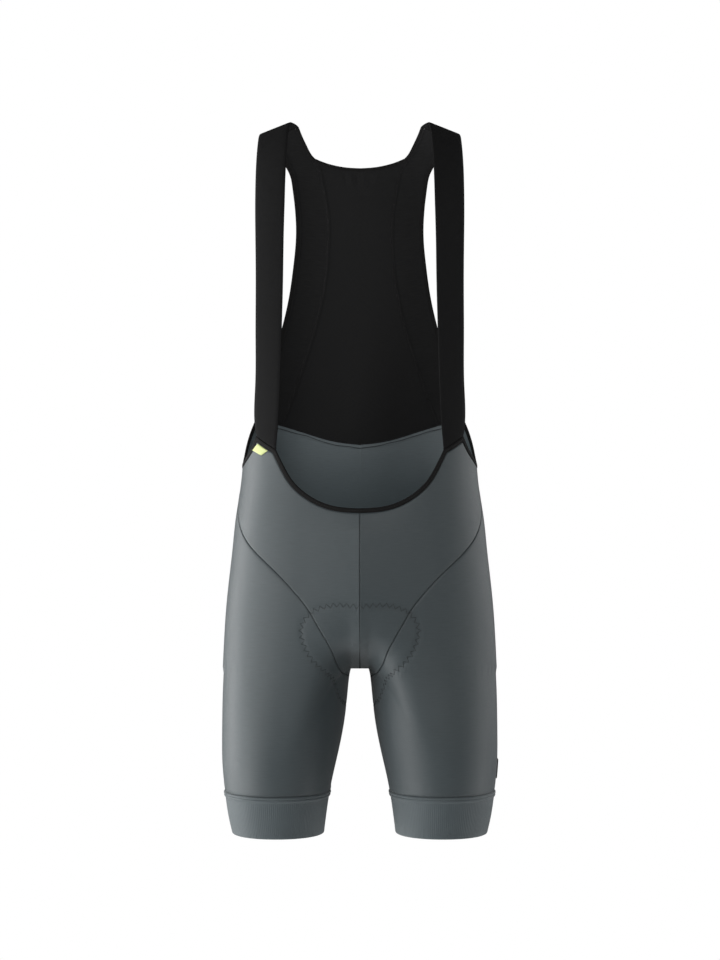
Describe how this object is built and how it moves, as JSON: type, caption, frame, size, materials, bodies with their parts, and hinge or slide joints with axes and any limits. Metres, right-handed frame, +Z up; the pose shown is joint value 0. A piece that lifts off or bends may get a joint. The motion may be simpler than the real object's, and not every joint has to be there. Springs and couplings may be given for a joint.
{
  "type": "cycling bib shorts",
  "caption": "Close-fitting bib shorts, filled out as worn: shoulder straps over a scooped front and an open mesh back, panelled legs with gripper hems, and a seat pad inside.",
  "frame": {"origin": "midway between the two shoulder straps, level with where their undersides bear on the shoulders", "axes": "+Z up, -Y towards the wearer's front, +X towards the wearer's left"},
  "size_m": [0.3532, 0.225, 0.9097],
  "materials": {
    "slate_stretch_fabric": "smooth knit with a soft sheen",
    "black_elastic": "matt woven elastic",
    "black_mesh_knit": "matt open mesh knit",
    "black_binding": "matt folded elastic",
    "pad_foam_and_knit": "matt brushed knit over foam",
    "pale_lime_ribbon": "matt woven ribbon",
    "dark_label": "plain matt transfer"
  },
  "bodies": {
    "root": {"front_panel_left": "slate_stretch_fabric", "front_panel_right": "slate_stretch_fabric", "back_panel_left": "slate_stretch_fabric", "back_panel_right": "slate_stretch_fabric", "leg_panel_left": "slate_stretch_fabric", "leg_panel_right": "slate_stretch_fabric", "leg_gripper_left": "slate_stretch_fabric", "leg_gripper_right": "slate_stretch_fabric", "mesh_back": "black_mesh_knit", "side_back_left": "black_mesh_knit", "side_back_right": "black_mesh_knit", "strap_left": "black_elastic", "strap_right": "black_elastic", "front_binding": "black_binding", "neck_binding": "black_binding", "armhole_binding_left": "black_binding", "armhole_binding_right": "black_binding", "seat_pad": "pad_foam_and_knit", "strap_tab": "pale_lime_ribbon", "thigh_label": "dark_label"}
  },
  "joints": []
}
